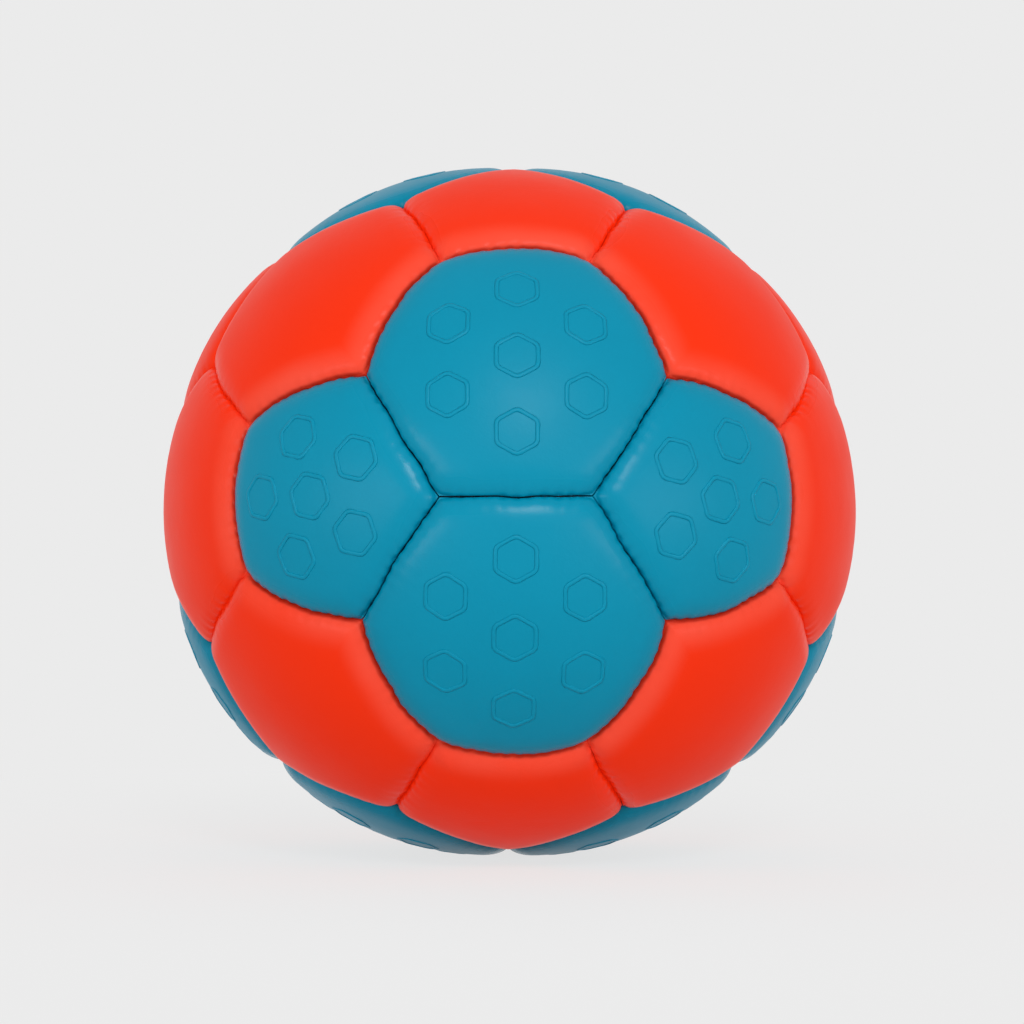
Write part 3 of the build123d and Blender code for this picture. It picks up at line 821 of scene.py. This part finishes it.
def shaped(mesh, tree, values):
    """Runs a mesh through a Geometry Nodes tree with some of its inputs set, and gives back a plain mesh."""
    worked = bpy.data.objects.new("worked", mesh)
    scene.collection.objects.link(worked)
    modifier = worked.modifiers.new("shape", "NODES")
    modifier.node_group = tree
    keys = input_keys(tree)
    for name, value in values.items():
        modifier[keys[name]] = value
    evaluated = worked.evaluated_get(bpy.context.evaluated_depsgraph_get())
    result = bpy.data.meshes.new_from_object(evaluated)
    bpy.data.objects.remove(worked)
    return result


print("inputs of the sewing:", len(input_keys(sewing)), "of the embossing:", len(input_keys(embossing)))

# %% Sew the panels
RING_SPREAD = {6: 19.5, 5: 15.5}


def panel_sheet(name):
    """A panel's blank, turned to its place, with the facts about its seams on its points."""
    points, faces, facts = blanks[blank_of(name)]
    turn = frames[name][0]
    blank = bpy.data.meshes.new(name + "_blank")
    blank.from_pydata((points @ turn.T).tolist(), [], faces)
    for column, fact_name in enumerate(FACT_NAMES):
        values = blank.attributes.new(fact_name, "FLOAT", "POINT")
        values.data.foreach_set("value", facts[:, column].astype(np.float32))
    return blank


triangles = 0
for number, name in enumerate(frames):
    teal = name in TEAL_PANELS
    finish = teal_cover if teal else red_cover
    sewn = shaped(panel_sheet(name), sewing, {"Panel Number": float(number), "Cover": finish})
    if teal:
        sewn = shaped(sewn, embossing, {
            "Spread": RING_SPREAD[sides_of(name)] / MILLIMETRES,
            "Rings Around": sides_of(name),
            "Rings In The Middle": int(name != VALVE_PANEL),
            "Panel Turn": tuple(Matrix(frames[name][0].tolist()).to_euler()),
            "Cover": finish,
        })
    for fact_name in (*FACT_NAMES, "lift"):
        if fact_name in sewn.attributes:
            sewn.attributes.remove(sewn.attributes[fact_name])
    cover = bpy.data.objects.new("cover_" + name, sewn)
    scene.collection.objects.link(cover)
    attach(cover, "ball")
    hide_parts(name)
    triangles += sum(len(face.vertices) - 2 for face in sewn.polygons)
print("sewn panels:", len(frames), "triangles:", triangles)

# %% [markdown]
# ## Materials for the CAD pieces
# The rubber valve shows at the back, and the foam, backing, thread and bladder would show if a panel were
# taken off. They keep their CAD shapes and each gets the finish of what it is.

# %% Finishes for foam, backing and thread
MOTTLE_RELIEF = 0.2  # in millimetres


def mottled_finish(name, light, dark, spacing, roughness, relief, specular):
    """A material with a two-colour mottle at a real spacing in millimetres, and relief to match."""
    made = bpy.data.materials.new(name)
    made.use_nodes = True
    tree = made.node_tree
    tree.nodes.clear()
    where = add(tree, "ShaderNodeTexCoord").outputs["Object"]
    mottle = add(tree, "ShaderNodeTexNoise", {
        "Vector": where, "Scale": MILLIMETRES / spacing, "Detail": 3.0,
    }).outputs[0]
    tint = add(tree, "ShaderNodeMix", {
        "Factor": mottle, "A": colour(light), "B": colour(dark),
    }, data_type="RGBA").outputs[2]
    bump = add(tree, "ShaderNodeBump", {
        "Height": mottle, "Strength": relief, "Distance": MOTTLE_RELIEF / MILLIMETRES,
    }).outputs[0]
    surface = add(tree, "ShaderNodeBsdfPrincipled", {
        "Base Color": tint, "Roughness": roughness, "Normal": bump, "Specular IOR Level": specular,
    })
    add(tree, "ShaderNodeOutputMaterial", {"Surface": surface.outputs[0]})
    return made


# Foam is matt and pale with fine cells
foam_finish = mottled_finish(
    "closed_cell_foam", "#f1eee4", "#ddd8c8", spacing=0.8, roughness=0.9, relief=0.4, specular=0.2,
)
# Cotton plies look like dull cream cloth
backing_finish = mottled_finish(
    "laminated_cotton_backing", "#e6e0d0", "#c9c0aa",
    spacing=0.5, roughness=0.95, relief=0.6, specular=0.1,
)
# Wax gives the dark thread a dull shine
thread_finish = mottled_finish(
    "waxed_polyester_thread", "#1d1e22", "#0d0e10", spacing=0.4, roughness=0.5, relief=0.5, specular=0.4,
)
print("soft layers:", foam_finish.name, backing_finish.name, thread_finish.name)

# %% Finishes for the rubber pieces
# Latex is smooth, dark and slightly cloudy
bladder_finish = mottled_finish(
    "latex_bladder_rubber", "#232324", "#161617", spacing=2.0, roughness=0.6, relief=0.2, specular=0.4,
)
# Moulded rubber is near black with a soft sheen, and the core a little lighter and smoother
valve_finish = mottled_finish(
    "moulded_valve_rubber", "#202022", "#141415", spacing=1.2, roughness=0.55, relief=0.3, specular=0.4,
)
core_finish = mottled_finish(
    "moulded_core_rubber", "#2b2b2e", "#1c1c1e", spacing=1.2, roughness=0.5, relief=0.3, specular=0.4,
)
print("rubber:", bladder_finish.name, valve_finish.name, core_finish.name)

# %% Finish the pieces inside the ball
inner_finish = {
    "pentagon_foam_pads": foam_finish, "hexagon_foam_pads": foam_finish,
    "pentagon_backings": backing_finish, "hexagon_backings": backing_finish,
    "pentagon_seam_stitching": thread_finish, "hexagon_seam_stitching": thread_finish,
    "bladder": bladder_finish, "valve_patch": bladder_finish,
    "valve_housing": valve_finish, "valve_core": core_finish,
}
for name, finish in inner_finish.items():
    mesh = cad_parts[name].data
    mesh.materials.clear()
    mesh.materials.append(finish)
print("inner pieces finished:", len(inner_finish))

# %% [markdown]
# ## Floor and background
# The ball stands on a pale floor that runs into the background without an edge. For the camera, and in
# reflections, most of the floor's brightness is its own. The rest is what falls on it, so that it still
# takes the ball's shadow, and that part fades out a little way from the ball.

# %% Lay the floor
BACKGROUND = colour("#ebebeb")
FLOOR_REACH = 6.0
FLOOR_GAP = 0.0005
FLOOR_GLOW = 0.87
SHADOW_START = 0.11
SHADOW_END = 0.34


def background_rays(tree):
    """1 for the rays that see the background: from the camera, off a gloss or through something clear."""
    path = add(tree, "ShaderNodeLightPath").outputs
    seen = path["Is Camera Ray"]
    for kind in ("Is Glossy Ray", "Is Transmission Ray"):
        seen = add(tree, "ShaderNodeMath", {0: seen, 1: path[kind]}, operation="MAXIMUM").outputs[0]
    return seen


paper = bpy.data.materials.new("pale_paper_floor")
paper.use_nodes = True
tree = paper.node_tree
tree.nodes.clear()
bounce = add(tree, "ShaderNodeBsdfDiffuse", {"Color": colour("#e2e2e2")}).outputs[0]
shadowed = add(tree, "ShaderNodeBsdfDiffuse", {"Color": colour("#696969")}).outputs[0]
part_glow = add(tree, "ShaderNodeEmission", {"Color": BACKGROUND, "Strength": FLOOR_GLOW}).outputs[0]
full_glow = add(tree, "ShaderNodeEmission", {"Color": BACKGROUND, "Strength": 1.0}).outputs[0]
near = add(tree, "ShaderNodeAddShader", {0: shadowed, 1: part_glow}).outputs[0]
where = add(tree, "ShaderNodeTexCoord").outputs["Object"]
distance = add(tree, "ShaderNodeVectorMath", {0: where}, operation="LENGTH").outputs["Value"]
far = add(tree, "ShaderNodeMapRange", {
    "Value": distance, "From Min": SHADOW_START, "From Max": SHADOW_END,
}, interpolation_type="SMOOTHSTEP").outputs[0]
shown = add(tree, "ShaderNodeMixShader", {0: far, 1: near, 2: full_glow}).outputs[0]
mixed = add(tree, "ShaderNodeMixShader", {0: background_rays(tree), 1: bounce, 2: shown}).outputs[0]
add(tree, "ShaderNodeOutputMaterial", {"Surface": mixed})

floor_level = cad_low.z - FLOOR_GAP
floor_corners = []
for x, y in ((-1, -1), (1, -1), (1, 1), (-1, 1)):
    floor_corners.append((x * FLOOR_REACH, y * FLOOR_REACH, floor_level))
floor_mesh = bpy.data.meshes.new("floor")
floor_mesh.from_pydata(floor_corners, [], [(0, 1, 2, 3)])
floor_mesh.materials.append(paper)
floor = bpy.data.objects.new("floor", floor_mesh)
scene.collection.objects.link(floor)
print("floor at", round(floor_level, 4))

# %% Surround the ball with white
# The white is stronger behind the ball, which brightens its rim and its back
SURROUND_FRONT = 0.52
SURROUND_BACK = 0.8
FULLY_BEHIND = 0.7

world = bpy.data.worlds.new("white_surround")
scene.world = world
world.use_nodes = True
tree = world.node_tree
tree.nodes.clear()
facing = add(tree, "ShaderNodeTexCoord").outputs["Generated"]
behind = add(tree, "ShaderNodeSeparateXYZ", {0: facing}).outputs["Y"]
evenness = add(tree, "ShaderNodeMapRange", {
    "Value": behind, "From Min": 0.0, "From Max": FULLY_BEHIND,
    "To Min": SURROUND_FRONT, "To Max": SURROUND_BACK,
}, interpolation_type="SMOOTHSTEP").outputs[0]
surround = add(tree, "ShaderNodeBackground", {"Color": colour("#ffffff"), "Strength": evenness}).outputs[0]
backdrop = add(tree, "ShaderNodeBackground", {"Color": BACKGROUND, "Strength": 1.0}).outputs[0]
mixed = add(tree, "ShaderNodeMixShader", {0: background_rays(tree), 1: surround, 2: backdrop}).outputs[0]
add(tree, "ShaderNodeOutputWorld", {"Surface": mixed})
print("white surround:", SURROUND_FRONT, "in front,", SURROUND_BACK, "behind")

# %% [markdown]
# ## Light
# The ball is lit softly from the front, with pale surfaces all round. A softbox above the camera gives
# the shine on the panels that face it and the short streaks where they roll into the seams. Two long low
# ones, left and right, fill the lower half. They are plain lights at a plain level, so that colours come
# out as they are written.

# %% Hang the softboxes
LOW_BOX_ASIDE = 0.85


def softbox(name, position, width, tall, watts):
    """An area light that faces the ball."""
    lamp = bpy.data.lights.new(name, "AREA")
    lamp.shape = "RECTANGLE"
    lamp.size, lamp.size_y, lamp.energy = width, tall, watts
    lit = bpy.data.objects.new(name, lamp)
    scene.collection.objects.link(lit)
    lit.location = position
    lit.rotation_mode = "QUATERNION"
    lit.rotation_quaternion = Vector(position).to_track_quat("Z", "Y")


softbox("key_softbox", position=(0.12, -1.25, 0.66), width=0.3, tall=0.28, watts=6.0)
for name, x in (("low_left_softbox", -LOW_BOX_ASIDE), ("low_right_softbox", LOW_BOX_ASIDE)):
    softbox(name, position=(x, -1.0, 0.05), width=0.8, tall=0.24, watts=3.3)
scene.view_settings.view_transform = "Standard"
